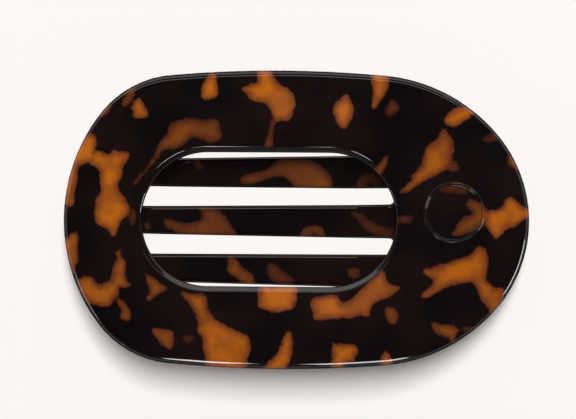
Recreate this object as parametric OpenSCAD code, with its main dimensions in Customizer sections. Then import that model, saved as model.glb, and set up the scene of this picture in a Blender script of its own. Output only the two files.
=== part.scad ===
// Flat oval spring barrette: an oval face plate with an open centre, a three-tined jaw hinged
// under the plate's thumb end, the hinge pin and the torsion spring that holds the jaw shut.
// Millimetres. +X runs along the plate to the thumb end, +Z is up out of the plate's face,
// and z = 0 is the surface that the jaw's belly and thumb lever rest on.

/* [Face plate] */
// Length of the plate over its ends
plate_l = 100; // [92:1:112]
// Width of the plate over its long sides
plate_w = 63.6; // [58:0.2:72]
// Thickness from the crest of the ring to the underside
plate_t = 3.0; // [2.8:0.1:4]
// Height of the underside above the rest surface, in the middle of the plate
plate_z = 13.4; // [13:0.1:16]
// Radius of the bow along the plate's length
bow_r = 300; // [260:10:600]
// How far the crest of the ring stands above the ring's edges
dome_h = 0.5; // [0.2:0.05:0.8]
// Round on the top edges
top_round = 1.3; // [0.8:0.1:1.5]
// Round on the bottom edges
low_round = 0.8; // [0.4:0.1:0.9]

/* [Opening] */
// Length of the opening
open_l = 54.5; // [50:0.5:58]
// Width of the opening
open_w = 28.6; // [28.6:0.2:34]
// Centre of the opening along the plate
open_x = -5.8; // [-7:0.1:-5]

/* [Thumb disc] */
// Radius of the disc's rim
disc_r = 6.8; // [5:0.1:7]
// Place of the disc along the plate
disc_x = 33.7; // [32:0.1:36]
// Place of the disc across the plate
disc_y = 1.8; // [-2:0.1:2]
// Depth of the dish inside the rim
disc_deep = 0.4; // [0.2:0.05:0.6]

/* [Jaw] */
// Thickness of the jaw
jaw_t = 2.6; // [2.2:0.1:3]
// Width of a tine where it leaves the cross bar
tine_root_w = 7.4; // [6.8:0.1:7.8]
// Width of a tine at its tip
tine_tip_w = 5.8; // [5.2:0.1:6.3]
// Distance between tine centre lines at the cross bar
root_pitch = 10.9; // [10.6:0.1:11]
// Distance between tine centre lines at the tips
tip_pitch = 10.3; // [10:0.1:10.5]
// Radius of the underside where the tines curl up to the plate
curl_r = 26; // [24:0.5:28]
// How far the tines curl, in degrees
curl_turn = 46; // [40:1:46]
// Height that the jaw rises to under the hinge
rise_h = 3.4; // [3:0.1:3.6]
// Half the width of the thumb lever
lever_r = 12; // [10:0.5:12]
// Place of the thumb lever's end
lever_end = 47; // [44:0.5:47]

/* [Hinge] */
// Place of the hinge axis along the plate
hinge_x = 27; // [26:0.5:28]
// Height of the hinge axis
hinge_z = 8.8; // [8.6:0.1:9.2]
// Radius of the pin
pin_r = 1.0; // [0.8:0.05:1.1]
// Length of the pin
pin_l = 29; // [28.6:0.1:29.4]
// Running clearance round the pin in the jaw's ears
pin_play = 0.06; // [0.03:0.01:0.1]
// Thickness of each ear and lug
ear_t = 2.4; // [2:0.1:2.4]

/* [Spring] */
// Diameter of the spring wire
wire_d = 0.9; // [0.7:0.05:0.95]
// Mean radius of the coil
coil_r = 1.78; // [1.75:0.01:1.82]
// Whole turns in the coil
coil_turns = 8; // [5:1:9]

/* [Hidden] */
$fn = 48;

// Outline of the plate, as arcs from the tip end round to the thumb end: radii as shares of
// the outline's own length, and turns in degrees. A last arc closes it on the axis.
OUTLINE_R = [0.366, 0.2137, 2.75, 0.356];
OUTLINE_TURN = [38.6, 46.5, 9.6, 45.6];
OUTLINE_STEPS = [8, 9, 5, 8, 6];
// Steps round half the opening: tip-end quarter, straight side, thumb-end quarter.
OPEN_STEPS = [15, 9, 12];
ROUND_STEPS = 4;
DOME_STEPS = 6;
UNDER_STEPS = 6;

// Places along the jaw where its belly ends and its rise starts and stops
BELLY_TIP = -24;
RISE_FROM = 10;
RISE_TO = 23;
FALL_FROM = 28;
FALL_TO = 42;
SLOT_END = 21.2;
SLOT_ROUND = 1.1;
PROFILE_STEP = 1;
CURL_STEPS = 12;
EAR_R = 2.3;
LUG_R = 2.6;
LUG_TOP = 3.6;
EAR_GAP = 0.5;
ear_y = lever_r - 0.2 - ear_t;
lug_y = ear_y + ear_t + EAR_GAP;

// Teeth under the plate that pass between the tines
TOOTH_X = -38.2;
TOOTH_Y = [-15.4, -5.15, 5.15, 15.4];
TOOTH_L = 4;
TOOTH_R = [1.2, 0.8];

RIM_W = 0.9;
RIM_H = 0.25;
WIRE_SIDES = 8;
COIL_STEPS = 14;
COIL_GAP = 0.1;
LEG_END_X = 38;
LEG_LAND_X = 31;
DOWN_LEG = 12;
LEG_GAP = 0.12;

function sum(v, n) = n <= 0 ? 0 : v[n - 1] + sum(v, n - 1);
function smooth(t) = let (u = min(1, max(0, t))) u * u * (3 - 2 * u);
function lerp(a, b, f) = a + (b - a) * f;
function bow(x) = x * x / (2 * bow_r);
function crest_z(x) = plate_z + plate_t - bow(x);
function under_z(x) = plate_z - bow(x);

// ---- outline of the plate: each station is [x, y, normal x, normal y] ----

// State [x, y, heading] after an arc that turns clockwise
function arc_end(s, r, turn) =
    let (c = [s.x + r * sin(s.z), s.y - r * cos(s.z)], a = s.z + 90 - turn)
    [c.x + r * cos(a), c.y + r * sin(a), s.z - turn];
function outline_state(n) = n == 0 ? [0, 0, 90]
    : arc_end(outline_state(n - 1), OUTLINE_R[n - 1], OUTLINE_TURN[n - 1]);
function last_turn() = 180 - sum(OUTLINE_TURN, 4);
function outline_r(n) = n < 4 ? OUTLINE_R[n] : outline_state(4).y / sin(last_turn());
function outline_turn(n) = n < 4 ? OUTLINE_TURN[n] : last_turn();
function raw_station(n, f) =
    let (s = outline_state(n), e = arc_end(s, outline_r(n), outline_turn(n) * f))
    [e.x, e.y, cos(e.z + 90), sin(e.z + 90)];
raw_half = [
    for (n = [0:4]) for (k = [0:OUTLINE_STEPS[n] - 1]) raw_station(n, k / OUTLINE_STEPS[n]),
    raw_station(4, 1)
];
raw_l = raw_half[len(raw_half) - 1].x;
raw_w = 2 * max([for (s = raw_half) s.y]);
function fit_station(s) =
    let (kx = plate_l / raw_l, ky = plate_w / raw_w, n = [s[2] / kx, s[3] / ky])
    [s.x * kx - plate_l / 2, s.y * ky, n.x / norm(n), n.y / norm(n)];
outer_half = [for (s = raw_half) fit_station(s)];

// ---- outline of the opening, with normals that point into the plate ----

open_r = open_w / 2;
open_side = open_l / 2 - open_r;
function open_arc(side, a) = [open_x + side * open_side + open_r * cos(a), open_r * sin(a), cos(a), sin(a)];
inner_half = [
    for (k = [0:OPEN_STEPS[0] - 1]) open_arc(-1, 180 - 90 * k / OPEN_STEPS[0]),
    for (k = [0:OPEN_STEPS[1] - 1])
        [open_x + lerp(-open_side, open_side, k / OPEN_STEPS[1]), open_r, 0, 1],
    for (k = [0:OPEN_STEPS[2]]) open_arc(1, 90 - 90 * k / OPEN_STEPS[2])
];

// The mirrored half closes a loop of stations
function whole(half) = [
    each half,
    for (k = [len(half) - 2:-1:1]) [half[k].x, -half[k].y, half[k][2], -half[k][3]]
];
outer = whole(outer_half);
inner = whole(inner_half);
stations = len(outer);

// ---- rings of the plate's skin ----

// A point f of the way from the outer edge, set in by d, to the opening's edge, set back by e,
// and drop below the crest
function skin_point(i, f, d, e, drop) =
    let (o = [outer[i].x - d * outer[i][2], outer[i].y - d * outer[i][3]],
         h = [inner[i].x + e * inner[i][2], inner[i].y + e * inner[i][3]],
         p = lerp(o, h, f))
    [p.x, p.y, crest_z(p.x) - drop];
// Slope of the dome where it meets the round of the edge at station i
function edge_slope(i) =
    let (half_w = norm([outer[i].x - inner[i].x, outer[i].y - inner[i].y]) / 2)
    atan(2 * dome_h / half_w);
function top_round_point(i, f, k) =
    let (s = edge_slope(i), a = lerp(90, s, k / ROUND_STEPS), d = top_round * (1 - sin(a)))
    skin_point(i, f, d, d, dome_h + top_round * (cos(s) - cos(a)));
function dome_point(i, k) =
    let (f = k / DOME_STEPS, d = top_round * (1 - sin(edge_slope(i))))
    skin_point(i, f, d, d, dome_h * pow(2 * f - 1, 2));
function low_round_point(i, f, k) =
    let (a = 90 * k / (ROUND_STEPS - 1), d = low_round * (1 - sin(a)))
    skin_point(i, f, d, d, plate_t - low_round * (1 - cos(a)));

skin = [
    for (k = [0:ROUND_STEPS - 1]) [for (i = [0:stations - 1]) low_round_point(i, 0, k)],
    for (k = [0:ROUND_STEPS]) [for (i = [0:stations - 1]) top_round_point(i, 0, k)],
    for (k = [1:DOME_STEPS - 1]) [for (i = [0:stations - 1]) dome_point(i, k)],
    for (k = [ROUND_STEPS:-1:0]) [for (i = [0:stations - 1]) top_round_point(i, 1, k)],
    for (k = [ROUND_STEPS - 1:-1:0]) [for (i = [0:stations - 1]) low_round_point(i, 1, k)],
    for (k = [UNDER_STEPS - 1:-1:1])
        [for (i = [0:stations - 1]) skin_point(i, k / UNDER_STEPS, low_round, low_round, plate_t)]
];

// Faces of a ring of rings that closes on itself both ways
function torus_faces(rings, sides) = [
    for (k = [0:rings - 1]) for (i = [0:sides - 1])
        let (a = k * sides + i, b = k * sides + (i + 1) % sides,
             c = ((k + 1) % rings) * sides + (i + 1) % sides, d = ((k + 1) % rings) * sides + i)
        each [[a, b, c], [a, c, d]]
];

module plate_skin() {
    polyhedron(points = [for (ring = skin) each ring], faces = torus_faces(len(skin), stations));
}

// Puts children on the plate's face, tilted with its bow
module on_face(x, y) {
    translate([x, y, crest_z(x)]) rotate([0, atan(x / bow_r), 0]) children();
}

module disc_dish() {
    on_face(disc_x, disc_y) translate([0, 0, -disc_deep]) cylinder(r = disc_r - RIM_W / 2, h = 2);
}

module disc_rim() {
    on_face(disc_x, disc_y) translate([0, 0, -1]) difference() {
        cylinder(r = disc_r, h = 1 + RIM_H);
        translate([0, 0, -1]) cylinder(r = disc_r - RIM_W, h = 4);
    }
}

// A plate of thickness t lying across the hinge, its near face at y
module across(y, t) {
    translate([0, y + t, 0]) rotate([90, 0, 0]) linear_extrude(t) children();
}

module lug_outline() {
    translate([hinge_x, hinge_z]) circle(r = LUG_R);
    polygon([
        [hinge_x - LUG_R, hinge_z], [hinge_x + LUG_R, hinge_z],
        [hinge_x + LUG_TOP, plate_z], [hinge_x - LUG_TOP, plate_z]
    ]);
}

module lugs() {
    across(lug_y, ear_t) lug_outline();
    across(-lug_y - ear_t, ear_t) lug_outline();
}

// Half a tooth's outline, with its point rounded off, turned about its own axis
module tooth() {
    r = TOOTH_R[1];
    rotate_extrude() polygon([
        for (k = [0:6]) [r * sin(15 * k), r * (1 - cos(15 * k))],
        [TOOTH_R[0], TOOTH_L + 0.5],
        [0, TOOTH_L + 0.5]
    ]);
}

module teeth() {
    for (y = TOOTH_Y) translate([TOOTH_X, y, under_z(TOOTH_X) - TOOTH_L]) tooth();
}

module cross_rod(r, reach) {
    translate([hinge_x, reach, hinge_z]) rotate([90, 0, 0]) cylinder(r = r, h = 2 * reach);
}

module face_plate() {
    color("saddlebrown") difference() {
        union() {
            difference() {
                plate_skin();
                disc_dish();
            }
            disc_rim();
            lugs();
            teeth();
        }
        cross_rod(pin_r, 20);
    }
}

// ---- the jaw ----

// Underside of the jaw where it isn't curled
function jaw_low(x) = rise_h * (x < FALL_FROM
    ? smooth((x - RISE_FROM) / (RISE_TO - RISE_FROM))
    : smooth((FALL_TO - x) / (FALL_TO - FALL_FROM)));
function curl_point(r, a) = [BELLY_TIP - r * sin(a), curl_r - r * cos(a)];
curl_mid = curl_r - jaw_t / 2;

module jaw_profile() {
    xs = [for (x = [RISE_FROM:PROFILE_STEP:FALL_TO]) x, lever_end];
    polygon([
        for (k = [0:CURL_STEPS]) curl_point(curl_r, curl_turn * (1 - k / CURL_STEPS)),
        for (x = xs) [x, jaw_low(x)],
        for (k = [len(xs) - 1:-1:0]) [xs[k], jaw_low(xs[k]) + jaw_t],
        for (k = [0:CURL_STEPS]) curl_point(curl_r - jaw_t, curl_turn * k / CURL_STEPS)
    ]);
    translate(curl_point(curl_mid, curl_turn)) circle(r = jaw_t / 2);
}

// Half width and centre line of a tine at x; row is -1, 0 or 1
tip_x = curl_point(curl_mid, curl_turn).x - jaw_t / 2;
function along(x) = (x - tip_x) / (SLOT_END - tip_x);
function tine_half(x) = lerp(tine_tip_w, tine_root_w, along(x)) / 2;
function tine_y(row, x) = row * lerp(tip_pitch, root_pitch, along(x));

module tine_plan(row) {
    ends = [tip_x - 1, SLOT_END + 1];
    polygon([
        for (x = ends) [x, tine_y(row, x) - tine_half(x)],
        for (x = [ends[1], ends[0]]) [x, tine_y(row, x) + tine_half(x)]
    ]);
}

module jaw_plan() {
    bar_w = tine_y(1, SLOT_END) + tine_half(SLOT_END);
    bar_to = hinge_x - LUG_R - 0.6;
    offset(r = -SLOT_ROUND) offset(delta = SLOT_ROUND) {
        for (row = [-1:1]) tine_plan(row);
        translate([SLOT_END, -bar_w]) square([bar_to - SLOT_END, 2 * bar_w]);
        translate([SLOT_END, -lever_r]) square([lever_end - lever_r - SLOT_END, 2 * lever_r]);
        translate([lever_end - lever_r, 0]) circle(r = lever_r);
    }
}

module ear_outline() {
    translate([hinge_x, hinge_z]) circle(r = EAR_R);
    polygon([
        [hinge_x - EAR_R, hinge_z], [hinge_x - EAR_R - 0.8, rise_h + 1],
        [hinge_x + EAR_R + 0.8, rise_h + 1], [hinge_x + EAR_R, hinge_z]
    ]);
}

module tined_jaw() {
    color("peru") difference() {
        union() {
            intersection() {
                across(-20, 40) jaw_profile();
                translate([0, 0, -1]) linear_extrude(20) jaw_plan();
            }
            across(ear_y, ear_t) ear_outline();
            across(-ear_y - ear_t, ear_t) ear_outline();
        }
        cross_rod(pin_r + pin_play, 20);
    }
}

module hinge_pin() {
    color("silver") cross_rod(pin_r, pin_l / 2);
}

// ---- the spring: a close coil round the pin, with both legs towards the thumb end ----

coil_pitch = wire_d + COIL_GAP;
coil_half = coil_turns * coil_pitch / 2;
// The upper leg lies under the plate, and the lower one is bent to lie along the lever
leg_l = LEG_END_X - hinge_x;
up_leg = asin((under_z(LEG_END_X) - wire_d / 2 - LEG_GAP - hinge_z - coil_r) / leg_l);
first_a = 90 + up_leg;
last_a = -90 - DOWN_LEG + 360 * (coil_turns + 1);
coil_rings = round((last_a - first_a) / 360 * COIL_STEPS);
function coil_point(a, y) = [hinge_x + coil_r * cos(a), y, hinge_z + coil_r * sin(a)];
function on_lever(x) = [x, coil_half, jaw_low(x) + jaw_t + wire_d / 2 + LEG_GAP];
wire_path = [
    coil_point(first_a, -coil_half) + leg_l * [cos(up_leg), 0, sin(up_leg)],
    coil_point(first_a, -coil_half) + 0.5 * [cos(up_leg), 0, sin(up_leg)],
    for (k = [0:coil_rings])
        let (f = k / coil_rings) coil_point(lerp(first_a, last_a, f), lerp(-coil_half, coil_half, f)),
    for (x = [LEG_LAND_X:1.4:LEG_END_X]) on_lever(x)
];

// Tube of round wire along a path
module wire(path, r, sides) {
    last = len(path) - 1;
    function dir(k) = let (d = path[min(last, k + 1)] - path[max(0, k - 1)]) d / norm(d);
    function side_of(k) = let (s = cross(dir(k), [0, 1, 0])) s / norm(s);
    rings = [for (k = [0:last]) for (j = [0:sides - 1])
        let (u = side_of(k), v = cross(dir(k), u), a = 360 * j / sides)
        path[k] + r * (u * cos(a) + v * sin(a))];
    polyhedron(points = rings, faces = [
        [for (j = [0:sides - 1]) j],
        [for (j = [sides - 1:-1:0]) last * sides + j],
        for (k = [0:last - 1]) for (j = [0:sides - 1])
            let (a = k * sides + j, b = k * sides + (j + 1) % sides)
            each [[a, b + sides, b], [a, a + sides, b + sides]]
    ]);
}

module torsion_spring() {
    color("gainsboro") wire(wire_path, wire_d / 2, WIRE_SIDES);
}

face_plate();
tined_jaw();
hinge_pin();
torsion_spring();
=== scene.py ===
"""Looks of the oval spring barrette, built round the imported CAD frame."""
import math

import bpy
import numpy as np
from mathutils import Matrix, Vector
from mathutils.geometry import delaunay_2d_cdt


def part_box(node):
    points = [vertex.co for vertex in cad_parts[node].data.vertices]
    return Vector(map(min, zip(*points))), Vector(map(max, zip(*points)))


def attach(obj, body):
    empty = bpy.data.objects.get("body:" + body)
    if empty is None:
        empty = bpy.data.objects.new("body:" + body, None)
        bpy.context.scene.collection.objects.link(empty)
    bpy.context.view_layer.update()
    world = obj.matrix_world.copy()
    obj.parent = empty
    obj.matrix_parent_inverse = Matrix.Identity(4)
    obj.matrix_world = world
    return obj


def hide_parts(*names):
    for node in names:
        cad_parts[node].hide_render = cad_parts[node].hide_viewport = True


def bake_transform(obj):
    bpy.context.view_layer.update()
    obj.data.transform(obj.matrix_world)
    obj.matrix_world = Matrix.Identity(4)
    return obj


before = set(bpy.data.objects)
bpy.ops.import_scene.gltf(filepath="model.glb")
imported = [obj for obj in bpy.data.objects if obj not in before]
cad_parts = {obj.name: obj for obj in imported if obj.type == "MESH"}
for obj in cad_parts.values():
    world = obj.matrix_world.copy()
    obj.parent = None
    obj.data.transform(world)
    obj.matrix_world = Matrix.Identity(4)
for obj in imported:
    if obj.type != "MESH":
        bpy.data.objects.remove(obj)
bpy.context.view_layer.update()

MM = 0.001

# ---- sizes, in millimetres, read from the frame where it has them ----

plate_low, plate_high = (np.array(c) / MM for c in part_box("face_plate"))
LEVER_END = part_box("tined_jaw")[1][0] / MM
pin_low, pin_high = (np.array(c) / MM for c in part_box("hinge_pin"))
PLATE_L = plate_high[0] - plate_low[0]
PLATE_W = plate_high[1] - plate_low[1]
HINGE_X = (pin_low[0] + pin_high[0]) / 2
HINGE_Z = (pin_low[2] + pin_high[2]) / 2
PIN_R = (pin_high[2] - pin_low[2]) / 2
PLATE_T, PLATE_Z, BOW_R = 3.0, 13.4, 300.0
DOME_H, TOP_ROUND, LOW_ROUND = 0.5, 1.3, 0.8
OPEN_X, OPEN_L, OPEN_W = -5.8, 54.5, 28.6
DISC_X, DISC_Y, DISC_R = 33.7, 1.8, 6.8
# The face is cut away inside CUT_R, and points less than CUT_BAND inside it move out to it
CUT_R, CUT_BAND = DISC_R - 0.3, 1.1
JAW_T, LEVER_R = 2.6, 12.0
# Edge radius and thickness of the lugs and ears, and the spacing of points round them
EAR_EDGE, EAR_T, EAR_STEP = 0.25, 2.4, 0.35


def smooth(t):
    u = np.clip(t, 0, 1)
    return u * u * (3 - 2 * u)


def lerp(a, b, f):
    return a + (b - a) * f


# ---- mesh helpers ----

class Mesh:
    """Gathers points, in mm in the row frame, and faces."""

    def __init__(self):
        self.points, self.faces, self.count = [], [], 0

    def add(self, points, faces):
        self.points.append(np.asarray(points, float))
        self.faces += [tuple(int(i) + self.count for i in f) for f in faces]
        self.count += len(points)

    def build(self, name):
        co = np.concatenate(self.points)
        data = bpy.data.meshes.new(name)
        data.from_pydata((co * MM).tolist(), [], self.faces)
        data.validate()
        data.polygons.foreach_set("use_smooth", [True] * len(data.polygons))
        obj = bpy.data.objects.new(name, data)
        bpy.context.scene.collection.objects.link(obj)
        return obj


def grid_faces(rows, cols, wrap_rows=False):
    """Faces between rows of points that each run round a closed loop."""
    out = []
    for r in range(rows if wrap_rows else rows - 1):
        for c in range(cols):
            d, e = (r + 1) % rows, (c + 1) % cols
            out.append((r * cols + c, r * cols + e, d * cols + e, d * cols + c))
    return out


def inward_normals(loop):
    """Unit normals on the left of travel round a closed loop."""
    t = np.roll(loop, -1, 0) - np.roll(loop, 1, 0)
    t /= np.linalg.norm(t, axis=1)[:, None]
    return np.stack([-t[:, 1], t[:, 0]], 1)


def inside(points, loops):
    """Even-odd test of points against closed loops."""
    hit = np.zeros(len(points), bool)
    for loop in loops:
        for p, q in zip(loop, np.roll(loop, -1, 0)):
            cross = (p[1] > points[:, 1]) != (q[1] > points[:, 1])
            with np.errstate(divide="ignore", invalid="ignore"):
                x = p[0] + (points[:, 1] - p[1]) / (q[1] - p[1]) * (q[0] - p[0])
            hit ^= cross & (points[:, 0] < x)
    return hit


def distance_to(points, loop):
    """Distance from each point to a closed loop."""
    best = np.full(len(points), 1e9)
    for p, q in zip(loop, np.roll(loop, -1, 0)):
        d = q - p
        f = np.clip(((points - p) @ d) / max(d @ d, 1e-12), 0, 1)
        best = np.minimum(best, np.linalg.norm(points - p - f[:, None] * d, axis=1))
    return best


def resample(loop, step):
    """The same closed loop with points about step apart."""
    out = []
    for p, q in zip(loop, np.roll(loop, -1, 0)):
        k = max(1, int(round(np.linalg.norm(q - p) / step)))
        out += [p + (q - p) * j / k for j in range(k)]
    return np.array(out)


def filleted(corners, step=0.7):
    """A closed loop through corners (x, y, radius), each rounded off, with points about step apart."""
    out, n = [], len(corners)
    for i in range(n):
        p0, p1, p2 = (np.array(corners[(i + k) % n][:2], float) for k in (-1, 0, 1))
        r = corners[i][2]
        if r == 0:
            out.append(p1)
            continue
        u, v = p0 - p1, p2 - p1
        u, v = u / np.linalg.norm(u), v / np.linalg.norm(v)
        half = math.acos(np.clip(u @ v, -1, 1)) / 2
        cut = r / math.tan(half)
        a, b = p1 + u * cut, p1 + v * cut
        centre = p1 + (u + v) / np.linalg.norm(u + v) * r / math.sin(half)
        a0 = math.atan2(*(a - centre)[::-1])
        turn = math.atan2(*(b - centre)[::-1]) - a0
        turn = (turn + math.pi) % (2 * math.pi) - math.pi
        k = max(3, int(abs(turn) / math.radians(9)))
        out += [centre + r * np.array([math.cos(a0 + turn * j / k), math.sin(a0 + turn * j / k)])
                for j in range(k + 1)]
    return resample(np.array(out), step)


def slab(mesh, loops, thick, edge, place, fill):
    """A slab with rounded edges: loops go anticlockwise outside and clockwise round holes.

    place maps (u, v, t) to mm, and fill is the spacing of the points inside the two flat sides.
    """
    steps = 5
    wall = thick / 2 - edge
    rings = []
    for k in range(steps, -1, -1):
        a = math.pi / 2 * k / steps
        rings.append((edge * (1 - math.cos(a)), -wall - edge * math.sin(a)))
    for k in range(steps + 1):
        a = math.pi / 2 * k / steps
        rings.append((edge * (1 - math.cos(a)), wall + edge * math.sin(a)))
    inner = []
    for loop in loops:
        normal = inward_normals(loop)
        pts = [np.column_stack([loop + d * normal, np.full(len(loop), t)]) for d, t in rings]
        inner.append(loop + rings[-1][0] * normal)
        mesh.add(place(np.concatenate(pts)), grid_faces(len(rings), len(loop)))
    low, high = inner[0].min(0), inner[0].max(0)
    gx, gy = np.meshgrid(np.arange(low[0], high[0], fill), np.arange(low[1], high[1], fill))
    extra = np.column_stack([gx.ravel(), gy.ravel()])
    extra = extra[inside(extra, inner)]
    keep = np.full(len(extra), True)
    for loop in inner:
        keep &= distance_to(extra, loop) > 0.45 * fill
    extra = extra[keep]
    flat = np.concatenate(inner + [extra])
    edges, start = [], 0
    for loop in inner:
        n = len(loop)
        edges += [(start + i, start + (i + 1) % n) for i in range(n)]
        start += n
    verts, _, faces, _, _, _ = delaunay_2d_cdt([Vector(p) for p in flat], edges, [], 0, 1e-6)
    verts = np.array([tuple(v) for v in verts])
    faces = np.array(faces)
    faces = faces[inside(verts[faces].mean(1), inner)]
    a, b, c = (verts[faces[:, k]] for k in range(3))
    twice = (b[:, 0] - a[:, 0]) * (c[:, 1] - a[:, 1]) - (b[:, 1] - a[:, 1]) * (c[:, 0] - a[:, 0])
    faces = faces[twice > 1e-3]
    for side in (1, -1):
        t = np.full(len(verts), side * thick / 2)
        mesh.add(place(np.column_stack([verts, t])), faces if side > 0 else faces[:, ::-1])


def lathe(mesh, profile, place, sides=24):
    """A profile of (radius, height) turned about an axis; place maps (x, y, h) to mm."""
    a = np.linspace(0, 2 * math.pi, sides, endpoint=False)
    pts = [np.column_stack([r * np.cos(a), r * np.sin(a), np.full(sides, h)]) for r, h in profile]
    mesh.add(place(np.concatenate(pts)), grid_faces(len(profile), sides))


# ---- the face plate ----

def arc_chain(steps):
    """Points of half the plate's outline from the tip end, turning clockwise, and how long it is.

    Lengths have no unit here, and plate_outlines scales them. The fifth arc closes the half on the axis.
    """
    radii = [0.366, 0.2137, 2.75, 0.356]
    turns = [38.6, 46.5, 9.6, 45.6]
    x, y, h, arcs = 0.0, 0.0, 90.0, []
    for n in range(5):
        if n == 4:
            turns.append(180 - sum(turns))
            radii.append(y / math.sin(math.radians(turns[4])))
        r, turn = radii[n], turns[n]
        a = math.radians(h)
        cx, cy = x + r * math.sin(a), y - r * math.cos(a)
        b = np.radians(h + 90 - turn * np.arange(steps[n] + 1) / steps[n])
        pts = np.column_stack([cx + r * np.cos(b), cy + r * np.sin(b)])
        arcs.append(pts if n == 4 else pts[:-1])
        x, y, h = cx + r * math.cos(b[-1]), cy + r * math.sin(b[-1]), h - turn
    return np.concatenate(arcs), x


def plate_outlines(fine):
    """Matching closed loops round the plate's edge and its opening, clockwise from the tip end."""
    half, length = arc_chain([8 * fine, 9 * fine, 5 * fine, 8 * fine, 6 * fine])
    half = half * [PLATE_L / length, PLATE_W / 2 / half[:, 1].max()] - [PLATE_L / 2, 0]
    r, side = OPEN_W / 2, OPEN_L / 2 - OPEN_W / 2
    a = np.radians(180 - 90 * np.arange(15 * fine) / (15 * fine))
    b = np.radians(90 - 90 * np.arange(12 * fine + 1) / (12 * fine))
    f = np.arange(9 * fine) / (9 * fine)
    hole = np.concatenate([
        np.column_stack([OPEN_X - side + r * np.cos(a), r * np.sin(a)]),
        np.column_stack([OPEN_X + side * (2 * f - 1), np.full(len(f), r)]),
        np.column_stack([OPEN_X + side + r * np.cos(b), r * np.sin(b)]),
    ])
    return tuple(np.concatenate([h, h[-2:0:-1] * [1, -1]]) for h in (half, hole))


outer_loop, hole_loop = plate_outlines(10)
outer_n = inward_normals(outer_loop) * -1
hole_n = inward_normals(hole_loop)
outer_coarse, hole_coarse = plate_outlines(4)


def crest_z(x):
    return PLATE_Z + PLATE_T - x * x / (2 * BOW_R)


def face_z(points):
    """Height of the plate's face, edges apart, at points in plan."""
    d_out, d_in = distance_to(points, outer_coarse), distance_to(points, hole_coarse)
    f = d_out / (d_out + d_in)
    return crest_z(points[:, 0]) - DOME_H * (2 * f - 1) ** 2


def round_profile(r, steps):
    """(set-in, drop) of a quarter round, from the wall to the face."""
    a = math.pi / 2 * np.arange(steps + 1) / steps
    return [(r * (1 - math.cos(b)), r * (1 - math.sin(b))) for b in a]


def bevel_profile():
    """(set-in, drop) of the opening's top edge: a soft-cornered bevel, from the wall to the face."""
    tilt, high_r, low_r, flat = math.radians(37), 0.3, 0.6, 0.8
    crest = 1.24
    out = [(TOP_ROUND, 0.0)]
    for k in range(6):
        a = tilt * k / 5
        out.append((crest - high_r * math.sin(a), high_r * (1 - math.cos(a))))
    d, drop = out[-1]
    for f in (0.04, 0.5, 0.96, 1):
        out.append((d - flat * f * math.cos(tilt), drop + flat * f * math.sin(tilt)))
    d, drop = out[-1]
    for k in range(1, 9):
        a = lerp(tilt, math.pi / 2, k / 8)
        out.append((d - low_r * (math.sin(a) - math.sin(tilt)),
                    drop + low_r * (math.cos(tilt) - math.cos(a))))
    end = out[-1][0]
    return [(max(d - end * (1 - d / TOP_ROUND), 0.0), z) for d, z in out][::-1]


def face_plate():
    mesh = Mesh()
    steps, across, under = 10, 34, 10
    rings = []

    def ring(f, d, drop, kind):
        o, h = outer_loop + outer_n * d, hole_loop + hole_n * d
        rings.append((lerp(o, h, f), kind, drop))

    low = round_profile(LOW_ROUND, steps)
    for d, drop in low[::-1]:
        ring(0, d, drop, "low")
    for d, drop in round_profile(TOP_ROUND, steps):
        ring(0, d, drop, "top")
    for k in range(1, across):
        ring(k / across, TOP_ROUND, 0, "top")
    for d, drop in bevel_profile()[::-1]:
        ring(1, d, drop, "top")
    for d, drop in low:
        ring(1, d, drop, "low")
    for k in range(under - 1, 0, -1):
        ring(k / under, LOW_ROUND, 0, "low")
    pts = []
    for xy, kind, drop in rings:
        if kind == "top":
            xy = clear_of_disc(xy)
        z = face_z(xy) - drop if kind == "top" else crest_z(xy[:, 0]) - PLATE_T + drop
        pts.append(np.column_stack([xy, z]))
    n = len(outer_loop)
    faces = np.array(grid_faces(len(rings), n, wrap_rows=True))[:, ::-1]
    co = np.concatenate(pts)
    # The face is cut away under the thumb disc, whose rim covers the edge of the cut
    on_top = np.repeat([kind == "top" for _, kind, _ in rings], n)
    cut = on_top & (np.hypot(co[:, 0] - DISC_X, co[:, 1] - DISC_Y) < CUT_R + 1e-6)
    mesh.add(co, faces[~cut[faces].all(1)])
    thumb_disc(mesh)
    hinge_lugs(mesh)
    teeth(mesh)
    return mesh.build("plate_shell")


def clear_of_disc(xy):
    """Moves the points just inside the cut for the thumb disc out to its edge, under the disc's rim."""
    off = xy - [DISC_X, DISC_Y]
    r = np.maximum(np.linalg.norm(off, axis=1), 1e-9)[:, None]
    return np.where((r > CUT_R - CUT_BAND) & (r < CUT_R), xy + off * (CUT_R / r - 1), xy)


def thumb_disc(mesh):
    """A plain dish inside a low, smooth rim."""
    sides, deep, rim_h, fall = 144, 0.4, 0.25, 0.55
    flat_r, rise_r, fall_r = 5.5, 5.75, 6.4
    a = np.linspace(0, 2 * math.pi, sides, endpoint=False)
    rho = np.concatenate([np.linspace(0, flat_r, 16)[1:], np.linspace(flat_r, DISC_R, 40)[1:]])
    r, ang = np.meshgrid(rho, a, indexing="ij")
    xy = np.column_stack([(DISC_X + r * np.cos(ang)).ravel(), (DISC_Y + r * np.sin(ang)).ravel()])
    r = r.ravel()
    h = lerp(-deep, rim_h, smooth((r - rise_r) / 0.5)) - fall * smooth((r - fall_r) / 0.4)
    co = np.column_stack([xy, face_z(xy) + h])
    centre = np.array([[DISC_X, DISC_Y, face_z(np.array([[DISC_X, DISC_Y]]))[0] - deep]])
    fan = [((i + 1) % sides, i, len(co)) for i in range(sides)]
    mesh.add(np.concatenate([co, centre]), grid_faces(len(rho), sides) + fan[::-1])


def bore_loop(r):
    a = np.radians(np.arange(0, 360, 9))[::-1]
    return np.column_stack([HINGE_X + r * np.cos(a), HINGE_Z + r * np.sin(a)])


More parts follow.
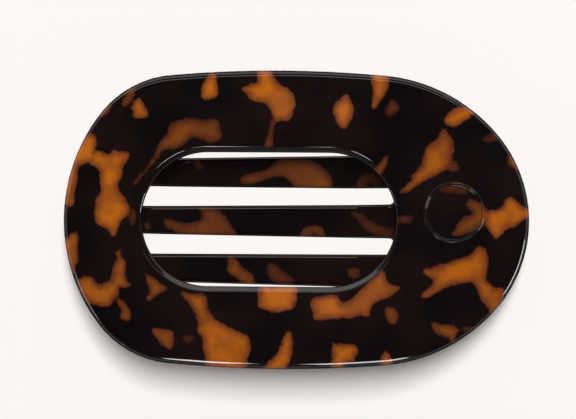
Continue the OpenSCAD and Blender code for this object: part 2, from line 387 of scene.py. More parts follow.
def upright_pair(mesh, outline, bore_r, y):
    """Two upright plates with a bore for the pin, outlined in x and z, at y and -y."""
    loop = resample(np.array(outline), EAR_STEP)
    for at in (y, -y):
        slab(mesh, [loop, bore_loop(bore_r)], EAR_T, EAR_EDGE,
             lambda p, at=at: np.column_stack([p[:, 0], at - p[:, 2], p[:, 1]]), 0.8)


def hinge_lugs(mesh):
    r, half, top, y = 2.6, 3.6, 12.6, 13.5
    bow = [(HINGE_X + r * math.cos(a), HINGE_Z + r * math.sin(a))
           for a in np.radians(np.arange(180, 361, 6))]
    upright_pair(mesh, bow + [(HINGE_X + half, top), (HINGE_X - half, top)], PIN_R - 0.01, y)


def teeth(mesh):
    x, length, tip, root, foot = -38.2, 4.0, 0.8, 1.2, 0.35
    base = crest_z(x) - PLATE_T
    a = np.radians(np.arange(3, 91, 9))
    profile = [(tip * math.sin(b), -length + tip * (1 - math.cos(b))) for b in a]
    profile += [(lerp(tip, root, f), lerp(-length + tip, -foot, f)) for f in (0.25, 0.5, 0.75, 1)]
    profile += [(root + foot * (1 - math.cos(b)), -foot + 0.4 * math.sin(b))
                for b in np.radians((20, 45, 70, 90))]
    for y in (-15.4, -5.15, 5.15, 15.4):
        lathe(mesh, profile, lambda p, y=y: p + [x, y, base])


# ---- the jaw ----

CURL_X, CURL_R, CURL_TURN = -24.0, 26.0 - JAW_T / 2, 46.0
RISE_H, RISE, FALL = 3.4, (10, 23), (28, 42)


def jaw_mid_z(x):
    up = smooth((x - RISE[0]) / (RISE[1] - RISE[0]))
    down = smooth((FALL[1] - x) / (FALL[1] - FALL[0]))
    return RISE_H * np.where(x < FALL[0], up, down) + JAW_T / 2


def bend_jaw(p):
    """From along the jaw, across it and through it, to where it is: the tips curl up."""
    s, y, t = p[:, 0], p[:, 1], p[:, 2]
    a = np.clip(CURL_X - s, 0, None) / CURL_R
    x = np.where(s < CURL_X, CURL_X - (CURL_R - t) * np.sin(a), s)
    z = np.where(s < CURL_X, JAW_T / 2 + CURL_R - (CURL_R - t) * np.cos(a), jaw_mid_z(s) + t)
    return np.column_stack([x, y, z])


def tined_jaw():
    mesh = Mesh()
    tip = CURL_X - CURL_R * math.radians(CURL_TURN) - JAW_T / 2
    root, bar = 21.2, HINGE_X - 3.2
    tip_r, root_r, bar_r = 1.3, 1.1, 1.0
    # Half a tine's width, and the tines' pitch, each at the tip and at the root
    half = (2.9, 3.7)
    pitch = (10.3, 10.9)
    lo = [pitch[0] - half[0], pitch[1] - half[1]]
    hi = [pitch[0] + half[0], pitch[1] + half[1]]
    lever = [(LEVER_END - LEVER_R + LEVER_R * math.cos(a), LEVER_R * math.sin(a), 0)
             for a in np.radians(np.arange(-90, 91, 5))]
    loop = filleted(
        [(tip, -hi[0], tip_r), (bar, -hi[1], bar_r), (bar, -LEVER_R, root_r)] + lever
        + [(bar, LEVER_R, root_r), (bar, hi[1], bar_r), (tip, hi[0], tip_r), (tip, lo[0], tip_r),
           (root, lo[1], root_r), (root, half[1], root_r), (tip, half[0], tip_r),
           (tip, -half[0], tip_r), (root, -half[1], root_r), (root, -lo[1], root_r),
           (tip, -lo[0], tip_r)]
    )
    slab(mesh, [loop], JAW_T, 0.8, bend_jaw, 1.0)
    ear_r, foot_out, foot_z, y = 2.3, 0.8, 4.6, 10.6
    top = [(HINGE_X + ear_r * math.cos(a), HINGE_Z + ear_r * math.sin(a))
           for a in np.radians(np.arange(0, 181, 6))]
    foot = [(HINGE_X - ear_r - foot_out, foot_z), (HINGE_X + ear_r + foot_out, foot_z)]
    upright_pair(mesh, top + foot, PIN_R + 0.06, y)
    return mesh.build("jaw_moulding")


# ---- the spring ----

def torsion_spring():
    wire_r, coil_r, turns, pitch, gap = 0.45, 1.78, 8, 1.0, 0.12
    half, end_x = turns * pitch / 2, 38.0
    under = crest_z(end_x) - PLATE_T - wire_r - gap
    up = math.asin((under - HINGE_Z - coil_r) / (end_x - HINGE_X))
    first, last = math.pi / 2 + up, math.radians(-102) + 2 * math.pi * (turns + 1)
    start = np.array([HINGE_X + coil_r * math.cos(first), -half, HINGE_Z + coil_r * math.sin(first)])
    leg = np.array([math.cos(up), 0, math.sin(up)])
    path = [start + leg * d for d in np.linspace(end_x - HINGE_X, 0.5, 24)]
    for f in np.linspace(0, 1, 40 * turns):
        a = lerp(first, last, f)
        path.append(np.array([HINGE_X + coil_r * math.cos(a), lerp(-half, half, f),
                              HINGE_Z + coil_r * math.sin(a)]))
    end = path[-1]
    land = [np.array([x, half, float(jaw_mid_z(np.float64(x))) + JAW_T / 2 + wire_r + gap])
            for x in np.arange(31.0, end_x + 0.01, 0.5)]
    path += [lerp(end, land[0], f) for f in np.linspace(0, 1, 12)[1:-1]] + land
    path = np.array(path)
    t = np.gradient(path, axis=0)
    t /= np.linalg.norm(t, axis=1)[:, None]
    u = np.cross(t, [0, 1, 0])
    u /= np.linalg.norm(u, axis=1)[:, None]
    v = np.cross(t, u)
    sides, tail = 14, len(path) - 1
    # Place on the path, radius and shift along it: the wire's cut ends are slightly rounded
    cut, out, back_off = 0.36, 0.02, 0.07
    rings = [(0, 0.0, -out), (0, cut, -out), (0, wire_r, back_off)]
    rings += [(k, wire_r, 0) for k in range(1, tail)]
    rings += [(tail, wire_r, -back_off), (tail, cut, out), (tail, 0.0, out)]
    a = np.linspace(0, 2 * math.pi, sides, endpoint=False)
    mesh = Mesh()
    rows = []
    for k, r, shift in rings:
        around = np.outer(np.cos(a), u[k]) + np.outer(np.sin(a), v[k])
        rows.append(path[k] + t[k] * shift + max(r, 1e-4) * around)
    mesh.add(np.concatenate(rows), [f[::-1] for f in grid_faces(len(rows), sides)])
    return mesh.build("spring_wire")


# ---- the tortoiseshell pattern ----

# Each amber patch is how bright it is, then its outline in plan, in mm
PLATE_AMBER = [
    (1.0, [
        (-44.6, 11.8), (-44.2, 14.6), (-42, 14.4), (-40, 13.5), (-39, 15), (-38, 14), (-35.5, 14.3),
        (-36, 12.5), (-37.2, 11), (-37.2, 9), (-38.2, 7.5), (-38, 6), (-36.5, 4), (-35.2, 2), (-37, 0),
        (-37.5, -1.5), (-38.8, -4), (-40.5, -2), (-42.5, -1.5), (-43.2, 1), (-42.8, 4), (-41.5, 6.2),
        (-42, 8.5), (-42, 10.5)
    ]),
    (0.95, [
        (-45.8, 18.2), (-43.5, 18), (-42.8, 16.5), (-43, 14.5), (-42.5, 13), (-43.2, 12), (-45.5, 12),
        (-47, 10.8), (-47, 8), (-47.6, 6), (-47.5, 3.5), (-48, 2.5), (-50.5, 3), (-50.5, 8),
        (-48.5, 14)
    ]),
    (0.5, [
        (-34.8, 6.3), (-33, 9), (-31, 11.5), (-29, 14), (-27.5, 15), (-25.5, 15), (-24, 15.8),
        (-22.5, 17.5), (-19.5, 17), (-18.5, 16.2), (-16.3, 17), (-15.6, 18), (-16.3, 19.5),
        (-16.5, 21.2), (-19, 21), (-22, 21.3), (-25, 21), (-27, 20), (-27.5, 18), (-29, 16.5),
        (-30, 14), (-32, 10.5), (-35, 7.5)
    ]),
    (0.95, [
        (-18.6, 31.3), (-17.4, 31.2), (-17, 29), (-16.7, 27), (-17.3, 25.8), (-19.5, 25.5),
        (-20.4, 26.2), (-20.2, 28), (-19.8, 29.5), (-19, 30)
    ]),
    (1.0, [
        (-8.5, 32), (-5.3, 32), (-5, 30), (-3.5, 28.5), (-2, 28), (-1, 27), (-0.2, 25), (-0.6, 22.5),
        (-2, 20.8), (-3.6, 21), (-4.8, 21), (-5.2, 22.5), (-6, 24.5), (-7, 25), (-9, 25.2), (-10, 25.8),
        (-10.3, 27), (-11.8, 27.6), (-9.5, 28.6), (-8, 29)
    ]),
    (0.5, [
        (-5.3, 21), (-4.6, 21), (-4.9, 19), (-5, 17), (-4.5, 15.5), (-7, 15.2), (-6.4, 17),
        (-5.8, 18.5), (-5.6, 20)
    ]),
    (0.85, [
        (-33.8, 25.8), (-33, 25.2), (-32.6, 23.8), (-31.8, 22.5), (-32, 21.6), (-34.5, 21.6), (-35, 22),
        (-34.8, 23), (-35.6, 23.6), (-35, 24.6)
    ]),
    (0.5, [
        (-34.6, 28.3), (-34.4, 27), (-35, 25.5), (-36, 24.5), (-36.8, 23.8), (-37.6, 24.6), (-36.8, 26),
        (-36.6, 27.5)
    ]),
    (0.6, [
        (-39.6, 25.8), (-39.8, 24), (-40.8, 22.4), (-42, 21.6), (-42.8, 22.4), (-41.5, 24.5)
    ]),
    (0.9, [
        (10.4, 27), (11.5, 25.5), (12.4, 24), (11.8, 22), (10.6, 19.6), (10, 19.5), (8.6, 20.6),
        (7.7, 23), (8.4, 25), (9.6, 25.6)
    ]),
    (0.9, [
        (15.6, 32), (19.8, 32), (19.7, 29.5), (19.4, 27.5), (18.2, 25.8), (16.8, 23.5), (16, 24),
        (16.2, 26.5), (16.2, 29)
    ]),
    (0.35, [
        (20, 26), (21, 25.5), (22, 24), (21, 22.8), (19.5, 22), (18.8, 23), (19.6, 24.5)
    ]),
    (0.9, [
        (35.3, 24.5), (36.5, 24.4), (38.3, 23.4), (37, 22), (35.5, 21), (33.5, 20), (31.8, 20.4),
        (31.4, 21.8), (32.6, 23), (34, 24)
    ]),
    (0.7, [
        (31.5, 20), (32.6, 18.2), (33.4, 17.8), (33.4, 14), (32.8, 11.8), (31.6, 10.6), (30.4, 10),
        (28, 8.8), (26, 7.6), (24, 6.3), (22, 5.6), (22.2, 6.2), (24.5, 8.4), (26, 10.8), (27, 12.2),
        (27.5, 15), (28.5, 16.5), (30, 17), (30.6, 18.6)
    ]),
    (0.4, [
        (32.5, 12.5), (34.5, 12.5), (34.8, 10.5), (33, 10.2)
    ]),
    (0.3, [
        (39.5, 17.4), (42, 19), (43.6, 18), (42.5, 17), (40.5, 16.8)
    ]),
    (0.6, [
        (45.6, 14.4), (46.6, 13.4), (47.6, 12.6), (48.4, 10.8), (47, 11), (45.4, 12)
    ]),
    (1.0, [
        (46.2, 5.2), (47.4, 4.2), (49, 2.8), (50.6, 2.6), (50.6, 1), (48.6, 0.4), (47, -1), (45, -1.6),
        (43.4, -3.6), (42.2, -3.4), (41.2, -1.6), (40.4, 0.6), (41, 2), (43, 2.4), (44.2, 3),
        (44.8, 4.8)
    ]),
    (0.5, [
        (41, 2.6), (39.4, 4), (37.2, 4.8), (36.6, 3), (38, 1.6), (36, 0.8), (34, -1.6), (33, -3),
        (35, -3.2), (37.5, -2.4), (39.5, -1.2), (41, 0)
    ]),
    (0.3, [
        (30.5, 7), (33, 8), (35.6, 7.8), (37.4, 6.6), (36, 5.6), (33, 6), (31, 6)
    ]),
    (0.6, [
        (19.8, 14.2), (19.6, 12.4), (18.6, 10.6), (17.6, 9.6), (16.6, 10.6), (17.8, 12), (18.8, 13.2)
    ]),
    (0.3, [
        (21.4, 0.8), (24, 1.2), (25.4, 0.4), (23.6, -0.8), (21.4, -0.6)
    ]),
    (0.8, [
        (-47, -2.6), (-46.6, -4), (-47, -6.5), (-46.6, -9), (-47.5, -12.2), (-49.5, -11), (-50.6, -5),
        (-49, -4)
    ]),
    (0.68, [
        (-43.4, -12.4), (-42.6, -14.2), (-40.4, -14), (-39, -12.8), (-38.8, -10), (-38, -8.6),
        (-38.4, -7.2), (-37.4, -6.6), (-37.2, -8.4), (-36, -9.2), (-36.4, -11), (-36, -13.4),
        (-34.8, -14.4), (-36.4, -15), (-37.6, -14.6), (-37.4, -16.5), (-39, -17.6), (-39.8, -18.8),
        (-43, -18.6), (-45, -17.6), (-46.8, -14.5), (-46.6, -12.8), (-44.6, -12.6)
    ]),
    (0.6, [
        (-38.4, -16.4), (-37, -17.6), (-35.2, -19.4), (-35, -21.4), (-36, -22), (-37.4, -21),
        (-36.8, -19.4), (-38, -17.8)
    ]),
    (0.6, [
        (-32.2, -11.4), (-30.6, -12.6), (-28.8, -13.8), (-26.8, -14.8), (-28, -15.4), (-29.4, -16.2),
        (-31, -17.6), (-31.8, -17.2), (-30.8, -15.4), (-31.6, -13.4)
    ]),
    (0.65, [
        (-24.6, -15.2), (-22.4, -16), (-19, -16), (-18.6, -19), (-17, -21.4), (-19.6, -23.2),
        (-20.6, -21.6), (-21.4, -19.4), (-23, -17.4)
    ]),
    (1.0, [
        (-18.5, -20.6), (-15, -22.6), (-11.6, -24), (-9.4, -25.4), (-9.2, -27.5), (-10, -29.4),
        (-9.8, -32.4), (-19.4, -32.4), (-18.8, -29.6), (-19.4, -27.4), (-19.4, -25.6), (-20.8, -24),
        (-20.4, -22.6), (-19, -22)
    ]),
    (0.7, [
        (-30.4, -23.2), (-28.4, -23.8), (-26, -23.8), (-25.6, -25.4), (-26.4, -28), (-27.6, -27.4),
        (-29, -25.8), (-30, -24.6)
    ]),
    (0.35, [
        (-23.8, -24.8), (-21, -25), (-22, -26), (-22.4, -27), (-23.4, -25.8)
    ]),
    (0.5, [
        (-37.4, -26.4), (-36, -26.8), (-36.4, -28.4)
    ]),
    (0.9, [
        (-1.4, -23.6), (-0.4, -24.4), (-0.4, -27.6), (-0.8, -29.8), (-2, -32.4), (-7.6, -32.4),
        (-5, -30), (-3.6, -28.4), (-2.8, -26)
    ]),
    (0.85, [
        (-7.6, -13.8), (-4, -13.6), (0.8, -13.8), (0.4, -17.4), (-0.6, -19.2), (-2.8, -19.4),
        (-5.4, -19.4), (-8, -18.6), (-7.6, -17)
    ]),
    (0.8, [
        (4, -16.6), (6, -16.2), (8.2, -15.6), (9.6, -16.4), (9.8, -18), (11.4, -17.4), (13, -16),
        (14.6, -14), (16.6, -12.4), (18.8, -10.4), (19.4, -13), (20.4, -14), (23, -14.2), (20.8, -15.2),
        (19.6, -16.4), (17.6, -17.4), (16, -18.6), (16, -20.4), (14, -20.2), (12, -20.6), (8, -21),
        (4, -21.6), (4.2, -20), (3.2, -18.4)
    ]),
    (0.6, [
        (19.2, -18.4), (21.2, -18.6), (22.2, -20.4), (21.2, -22.2), (20, -21.8), (19.2, -20)
    ]),
    (0.8, [
        (8, -26), (10, -26.4), (12, -26.2), (13.4, -27), (13, -28.8), (12.4, -30.2), (10.4, -30.6),
        (9.6, -32.4), (7.8, -32.4), (8, -29.4)
    ]),
    (0.9, [
        (19.4, -27.4), (20.6, -29.2), (21.2, -31.8), (18, -32), (18.4, -29.4)
    ]),
    (0.78, [
        (27, -10.6), (30, -9.8), (33, -8.6), (36.6, -7.8), (38, -6.6), (38.8, -5.2), (40.4, -6),
        (41.2, -8), (40.8, -10.4), (40.4, -12.6), (41.6, -13.4), (43, -14.4), (44.8, -14.2),
        (44.6, -16), (43.6, -18.6), (42.6, -20.2), (41, -18.4), (39.6, -16.6), (38.8, -14.4),
        (37.6, -12.6), (34.6, -13.4), (32, -14), (29.8, -15.6), (27.4, -16.6), (26.6, -15.8),
        (29.2, -14), (29.4, -12.4), (28, -11.8)
    ]),
    (0.6, [
        (28.8, -21.6), (31, -22), (34, -22.2), (35, -23.2), (34.2, -24.8), (33.6, -26), (32.4, -24.8),
        (30.6, -24), (29.6, -23.2)
    ]),
    (0.35, [
        (35.5, -22.6), (38, -22.4), (39.4, -23), (36.6, -23.8)
    ]),
    (0.35, [
        (-35.4, 2), (-34, 1.6), (-34.2, -1.6), (-35.6, -1.6)
    ]),
]
JAW_AMBER = [
    (0.68, [
        (-13.4, 9), (-9.8, 10.3), (-5.5, 11.6), (-4, 13.6), (2.7, 13.6), (6.1, 11.6), (7.8, 8.6),
        (7.8, 6.4), (0.4, 6.4), (-2, 9), (-3.3, 9.8), (-5.9, 9.4), (-8.1, 8.7), (-9.8, 7.8), (-12.8, 8)
    ]),
    (0.4, [
        (-23, 13.2), (-21, 13.2), (-20.4, 11), (-21.6, 11), (-22.4, 12)
    ]),
    (0.4, [
        (12.6, 7), (13.2, 9), (15, 10.6), (17, 11), (18.6, 9.4), (19.4, 8), (17, 7.4), (15.6, 8.8),
        (14.6, 7.2)
    ]),
    (0.52, [
        (-29.5, 0.5), (-28.5, -1.6), (-26.5, -2.6), (-25, -3.8), (-12.2, -3.8), (-14.5, -1),
        (-16.2, 1.4), (-17, 2.8), (-21.6, 2.8), (-20.4, 1.2), (-20.6, 0), (-23, -0.6), (-25, -0.8),
        (-27, 0)
    ]),
    (0.5, [
        (-33.8, -0.8), (-31.8, -0.4), (-31.2, -1.4), (-32.8, -2.2)
    ]),
    (0.6, [
        (0.6, -3.6), (1.4, -1.6), (3.4, -0.8), (5.6, -1.2), (6.8, -3.6), (5, -3.6), (3.8, -2.2),
        (2.8, -3.6)
    ]),
    (0.35, [
        (11.6, 2.2), (13, 2.4), (16, 0), (19.4, -1.2), (22, -2), (22, -3.6), (15.6, -3), (14, -0.6)
    ]),
    (0.65, [
        (-14.8, -7.4), (-13, -8.4), (-11.6, -10.6), (-9.4, -12), (-8.8, -14.2), (-11, -14.2),
        (-13.6, -12), (-15.4, -11.4), (-15, -9.6)
    ]),
    (0.35, [
        (-6, -9), (-4, -9.6), (-2, -12), (0.4, -13), (-3, -14.2), (-5.6, -13), (-6.6, -11)
    ]),
    (0.45, [
        (11, -10.6), (12.6, -10), (14.2, -11), (13.4, -12.4), (11.4, -12.2)
    ]),
    (0.6, [
        (28, 5), (31, 7.6), (35, 8.4), (39, 8), (41, 5), (38, 2.4), (34, 3.4), (31, 2.4)
    ]),
    (0.6, [
        (30, -5), (33, -3), (37, -4.4), (41, -3), (43.4, -4.6), (41, -7.4), (36, -9.4), (32, -8)
    ]),
    (0.5, [
        (23, -13), (25.6, -10), (25, -5), (27, -1), (25.4, 1.4), (23.4, -2), (22.8, -8)
    ]),
    (0.5, [
        (-42, 3), (-38, 2.4), (-36, 0), (-38, -2), (-41, -1.4), (-43, 0)
    ]),
    (0.5, [
        (-43, 12), (-40, 13), (-37, 11.6), (-35, 9), (-38, 8), (-41, 9)
    ]),
    (0.5, [
        (-40, -8), (-37, -9.4), (-36, -12), (-38, -13.4), (-42, -12)
    ]),
]


def softened(corners):
    """A closed outline with its corners cut twice."""
    loop = np.array(corners, float)
    for _ in range(2):
        after = np.roll(loop, -1, 0)
        loop = np.stack([0.78 * loop + 0.22 * after, 0.22 * loop + 0.78 * after], 1).reshape(-1, 2)
    return loop


def add_pattern(obj, patches):
    """Signed distance into the nearest amber patch, in mm, and the patch's brightness, at each vertex."""
    # In mm, how far off a patch is measured, and how softly two patches' brightness meets
    reach, edge, least = 6, 0.3, 1e-9
    n = len(obj.data.vertices)
    co = np.empty(n * 3)
    obj.data.vertices.foreach_get("co", co)
    xy = co.reshape(-1, 3)[:, :2] / MM
    best = np.full(n, -float(reach))
    glow, weight = np.full(n, least), np.full(n, least)
    for bright, corners in patches:
        loop = softened(corners)
        low, high = loop.min(0) - reach, loop.max(0) + reach
        near = np.flatnonzero(((xy > low) & (xy < high)).all(1))
        d = distance_to(xy[near], loop)
        d = np.where(inside(xy[near], [loop]), d, -d)
        w = np.exp(np.clip(d, -reach, reach) / edge)
        glow[near] += w * bright
        weight[near] += w
        best[near] = np.maximum(best[near], d)
    glow /= weight
    for name, values in (("amber", best), ("glow", glow)):
        attribute = obj.data.attributes.new(name, "FLOAT", "POINT")
        attribute.data.foreach_set("value", values.astype(np.float32))


# ---- materials ----

class Nodes:
    """Short names for building a material's nodes."""

    def __init__(self, name):
        self.mat = bpy.data.materials.new(name)
        self.mat.use_nodes = True
        self.tree = self.mat.node_tree
        self.bsdf = self.tree.nodes["Principled BSDF"]

    def node(self, kind, **settings):
        n = self.tree.nodes.new(kind)
        for key, value in settings.items():
            setattr(n, key, value)
        return n

    def link(self, a, b):
        self.tree.links.new(a, b)

    def math(self, op, a, b=0.0, c=0.0):
        n = self.node("ShaderNodeMath", operation=op)
        for socket, value in zip(n.inputs, (a, b, c)):
            if isinstance(value, (int, float)):
                socket.default_value = value
            else:
                self.link(value, socket)
        return n.outputs[0]

    def attribute(self, name):
        return self.node("ShaderNodeAttribute", attribute_name=name).outputs["Fac"]

    def position(self, stretch=(1, 1, 1)):
        coord = self.node("ShaderNodeTexCoord").outputs["Object"]
        mapping = self.node("ShaderNodeMapping")
        mapping.inputs["Scale"].default_value = [s / MM for s in stretch]
        self.link(coord, mapping.inputs["Vector"])
        return mapping.outputs[0]

    def noise(self, vector, scale, detail=2.0, rough=0.5):
        n = self.node("ShaderNodeTexNoise")
        n.inputs["Scale"].default_value = scale
        n.inputs["Detail"].default_value = detail
        n.inputs["Roughness"].default_value = rough
        self.link(vector, n.inputs["Vector"])
        return n.outputs["Fac"]

    def span(self, value, low, high, to_low=0.0, to_high=1.0):
        n = self.node("ShaderNodeMapRange", interpolation_type="SMOOTHSTEP")
        self.link(value, n.inputs["Value"])
        for socket, v in zip(("From Min", "From Max", "To Min", "To Max"), (low, high, to_low, to_high)):
            n.inputs[socket].default_value = v
        return n.outputs[0]

    def mix(self, factor, a, b):
        n = self.node("ShaderNodeMix", data_type="RGBA")
        self.link(factor, n.inputs[0])
        for socket, value in ((n.inputs[6], a), (n.inputs[7], b)):
            if isinstance(value, tuple):
                socket.default_value = value + (1,)
            else:
                self.link(value, socket)
        return n.outputs[2]

    def bump(self, height, distance):
        n = self.node("ShaderNodeBump")
        n.inputs["Strength"].default_value = 1.0
        n.inputs["Distance"].default_value = distance
        self.link(height, n.inputs["Height"])
        self.link(n.outputs[0], self.bsdf.inputs["Normal"])


def tortoiseshell(name, painted_shade_factor):
    """Amber patches with ragged edges in near-black plastic; the last argument scales how bright the
    patches are, and a value below 1 is painted shade.
    """
    m = Nodes(name)
    place = m.position()
    broad = m.noise(place, 0.35, 2.0)
    ragged = m.noise(place, 0.9, 3.0, 0.6)
    where = m.span(m.noise(place, 0.22, 1.0), 0.4, 0.6, 0.35, 1.6)
    depth = m.math("ADD", m.attribute("amber"), m.math("SUBTRACT", broad, 0.5))
    tatter = m.math("MULTIPLY", m.math("SUBTRACT", ragged, 0.5), 0.8)
    depth = m.math("ADD", depth, m.math("MULTIPLY", tatter, where))
    mask = m.span(depth, -0.34, 0.26)
    rich = m.span(depth, -0.3, 1.9)
    # Patch brightness times the last argument: below 1, as on the jaw, this dims the amber as painted
    # shade
    glow = m.math("MULTIPLY", m.span(m.attribute("glow"), 0.2, 1.0), painted_shade_factor)
    cloud = m.noise(place, 0.16, 2.0)
    amber = m.mix(rich, (0.13, 0.028, 0.009), (0.47, 0.122, 0.005))
    amber = m.mix(m.span(cloud, 0.4, 0.65, 0.0, 0.55), amber, (0.16, 0.035, 0.009))
    dim = m.mix(rich, (0.025, 0.007, 0.004), (0.075, 0.02, 0.008))
    dim = m.mix(m.span(m.attribute("glow"), 0.1, 0.35), (0.014, 0.0045, 0.0035), dim)
    amber = m.mix(glow, dim, amber)
    smoke = m.noise(place, 0.07, 1.0)
    dark = m.mix(m.span(smoke, 0.35, 0.7), (0.0026, 0.0012, 0.0014), (0.0085, 0.003, 0.0028))
    m.link(m.mix(mask, dark, amber), m.bsdf.inputs["Base Color"])
    m.bsdf.inputs["Roughness"].default_value = 0.07
    m.bsdf.inputs["IOR"].default_value = 1.49
    m.bump(m.noise(place, 0.16, 2.0), 0.00003)
    return m.mat


def drawn_steel(name, base, stretch):
    """Steel with fine drawing lines, which stretch runs along the wire or pin."""
    m = Nodes(name)
    lines = m.noise(m.position(stretch), 3.0, 4.0, 0.65)
    stain = m.noise(m.position(), 0.35, 3.0)
    dark = tuple(c * 0.72 for c in base)
    m.link(m.mix(m.span(lines, 0.3, 0.7), dark, base), m.bsdf.inputs["Base Color"])
    m.bsdf.inputs["Metallic"].default_value = 1.0
    m.link(m.span(stain, 0.3, 0.7, 0.24, 0.4), m.bsdf.inputs["Roughness"])
    m.bump(lines, 0.00001)
    return m.mat


def give(obj, material):
    obj.data.materials.clear()
    obj.data.materials.append(material)


plate = face_plate()
jaw = tined_jaw()
spring = torsion_spring()
add_pattern(plate, PLATE_AMBER)
add_pattern(jaw, JAW_AMBER)
give(plate, tortoiseshell("tortoiseshell_plate", 1.0))
# The jaw's patches are dimmed to 0.6 as painted shade, for the shade the jaw sits in under the plate
give(jaw, tortoiseshell("tortoiseshell_jaw", 0.6))
give(spring, drawn_steel("spring_wire_steel", (0.52, 0.51, 0.5), (1, 1, 1)))
give(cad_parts["hinge_pin"], drawn_steel("pin_steel", (0.64, 0.63, 0.61), (4, 0.3, 4)))
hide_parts("face_plate")
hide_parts("tined_jaw")
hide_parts("torsion_spring")
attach(plate, "plate")
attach(jaw, "jaw")
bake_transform(spring)

# ---- camera ----

CAMERA_AT = Vector((0.010, -0.011, 0.490))
LOOK_AT = Vector((-0.00172, 0.00226, 0.0105))
ROLL = math.radians(0.46)
WIDTH_SEEN = 0.1238
SENSOR = 36

camera_data = bpy.data.cameras.new("camera")
camera = bpy.data.objects.new("camera", camera_data)
bpy.context.scene.collection.objects.link(camera)
back = (CAMERA_AT - LOOK_AT).normalized()
up = Vector((-math.sin(ROLL), math.cos(ROLL), 0))
right = up.cross(back).normalized()
up = back.cross(right)
turn = Matrix((right, up, back)).transposed().to_4x4()
camera.matrix_world = Matrix.Translation(CAMERA_AT) @ turn
camera_data.sensor_width = SENSOR
camera_data.lens = SENSOR * (CAMERA_AT - LOOK_AT).length / WIDTH_SEEN
camera_data.clip_start, camera_data.clip_end = 0.01, 20
bpy.context.scene.camera = camera
bpy.context.scene.view_settings.view_transform = "Standard"

# ---- floor and lights ----

def studio_floor():
    """Pale paper that also gives off light: painted light under the open centre, where the paper turns
    black and glows so no shadow shows there, and far off past the lamps.
    """
    data = bpy.data.meshes.new("studio_floor")
    s, z = 20.0, -0.0001
    data.from_pydata([(-s, -s, z), (s, -s, z), (s, s, z), (-s, s, z)], [], [(0, 1, 2, 3)])
    obj = bpy.data.objects.new("studio_floor", data)
    bpy.context.scene.collection.objects.link(obj)
    m = Nodes("pale_paper")
    m.bsdf.inputs["Roughness"].default_value = 0.9
    m.bsdf.inputs["Specular IOR Level"].default_value = 0.1
    m.bsdf.inputs["Emission Color"].default_value = (1.0, 0.973, 0.947, 1)
    place = m.node("ShaderNodeSeparateXYZ")
    m.link(m.node("ShaderNodeTexCoord").outputs["Object"], place.inputs[0])
    # Painted light patch: 1 in a soft-cornered rectangle under the open centre, falling to 0 round it
    pool_x, pool_half_x, pool_half_y, square = 0.006, 0.036, 0.0195, 12.0
    x = m.math("DIVIDE", m.math("ADD", place.outputs[0], pool_x), pool_half_x)
    y = m.math("DIVIDE", place.outputs[1], pool_half_y)
    x, y = (m.math("POWER", m.math("ABSOLUTE", v), square) for v in (x, y))
    painted_light_pool = m.math("EXPONENT", m.math("MULTIPLY", m.math("ADD", x, y), -1.0))
    # Inside the painted light patch the paper's colour goes to black, so no shadow falls on it, and it
    # glows instead
    m.link(m.mix(painted_light_pool, (0.86, 0.84, 0.82), (0.0, 0.0, 0.0)), m.bsdf.inputs["Base Color"])
    # 0 near the object, rising to 1 over a few metres
    far = m.math("ADD", m.math("POWER", place.outputs[0], 2.0), m.math("POWER", place.outputs[1], 2.0))
    far = m.math("SUBTRACT", 1.0, m.math("EXPONENT", m.math("DIVIDE", far, -6.0)))
    near_level, far_more, pool_more = 0.1, 0.84, 0.86
    glow = m.math("MULTIPLY_ADD", far, far_more, near_level)
    m.link(m.math("MULTIPLY_ADD", painted_light_pool, pool_more, glow), m.bsdf.inputs["Emission Strength"])
    give(obj, m.mat)
    obj.visible_glossy = False


def soft_light(name, at, size, power):
    """A rectangular lamp that faces the origin."""
    data = bpy.data.lights.new(name, "AREA")
    data.shape = "RECTANGLE"
    data.size, data.size_y = size
    data.energy = power
    obj = bpy.data.objects.new(name, data)
    obj.location = at
    obj.rotation_euler = (Vector((0, 0, 0)) - Vector(at)).to_track_quat("-Z", "Y").to_euler()
    bpy.context.scene.collection.objects.link(obj)
    return obj


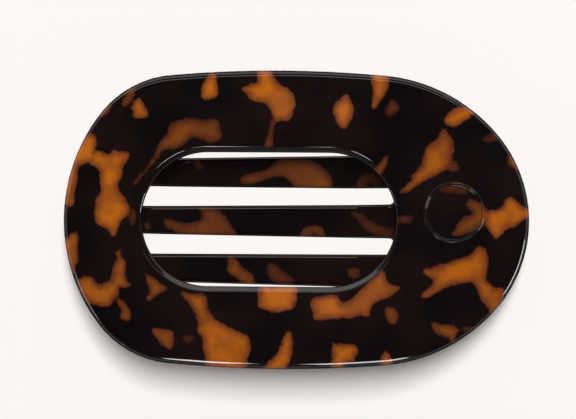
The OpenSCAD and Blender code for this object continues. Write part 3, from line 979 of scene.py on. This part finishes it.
def studio_world():
    """A dark room with a pale band round its horizon, paler on the far side than behind the camera."""
    world = bpy.data.worlds.new("studio")
    bpy.context.scene.world = world
    world.use_nodes = True
    tree = world.node_tree
    coord = tree.nodes.new("ShaderNodeTexCoord")
    part = tree.nodes.new("ShaderNodeSeparateXYZ")
    tree.links.new(coord.outputs["Generated"], part.inputs[0])
    product = tree.nodes.new("ShaderNodeMath")
    product.operation = "MULTIPLY"
    level = tree.nodes.new("ShaderNodeMath")
    level.operation = "ABSOLUTE"
    tree.links.new(part.outputs[2], level.inputs[0])
    # What each factor goes by, then from and to in it, and the factor's value at each end
    by_height = (level.outputs[0], (0.1, 0.45, 0.85, 0.06))
    by_side = (part.outputs[1], (-0.7, 0.5, 0.8, 1.1))
    for k, (along, values) in enumerate((by_height, by_side)):
        band = tree.nodes.new("ShaderNodeMapRange")
        band.interpolation_type = "SMOOTHSTEP"
        tree.links.new(along, band.inputs["Value"])
        for socket, value in zip(("From Min", "From Max", "To Min", "To Max"), values):
            band.inputs[socket].default_value = value
        tree.links.new(band.outputs[0], product.inputs[k])
    back = tree.nodes["Background"]
    back.inputs["Color"].default_value = (1.0, 0.985, 0.97, 1)
    tree.links.new(product.outputs[0], back.inputs["Strength"])


studio_floor()
studio_world()
key = soft_light("key_panel", (0.15, 0.8, 2.85), (0.5, 1.5), 84)
key.visible_glossy = False
for name, at, size, power in (
        ("back_wall", (0, 0.9, 0.26), (2.2, 0.32), 2.9),
        ("strip", (0, 1.2, 2.1), (2.8, 0.3), 8.8),
        ("side_left", (-0.81, -0.3, 0.25), (0.22, 0.16), 0.5),
        ("side_right", (0.81, -0.22, 0.27), (0.3, 0.2), 2.6)):
    soft_light(name, at, size, power).visible_diffuse = False
# Two small lamps in front mark the plate's near edge only
near_edge = bpy.data.collections.new("near_edge")
near_edge.objects.link(plate)
for name, at, size, power in (
        ("front_left", (-0.17, -0.47, 0.55), (0.13, 0.28), 2.1),
        ("front_right", (0.13, -0.49, 0.55), (0.22, 0.28), 3.0)):
    lamp = soft_light(name, at, size, power)
    lamp.visible_diffuse = False
    lamp.light_linking.receiver_collection = near_edge
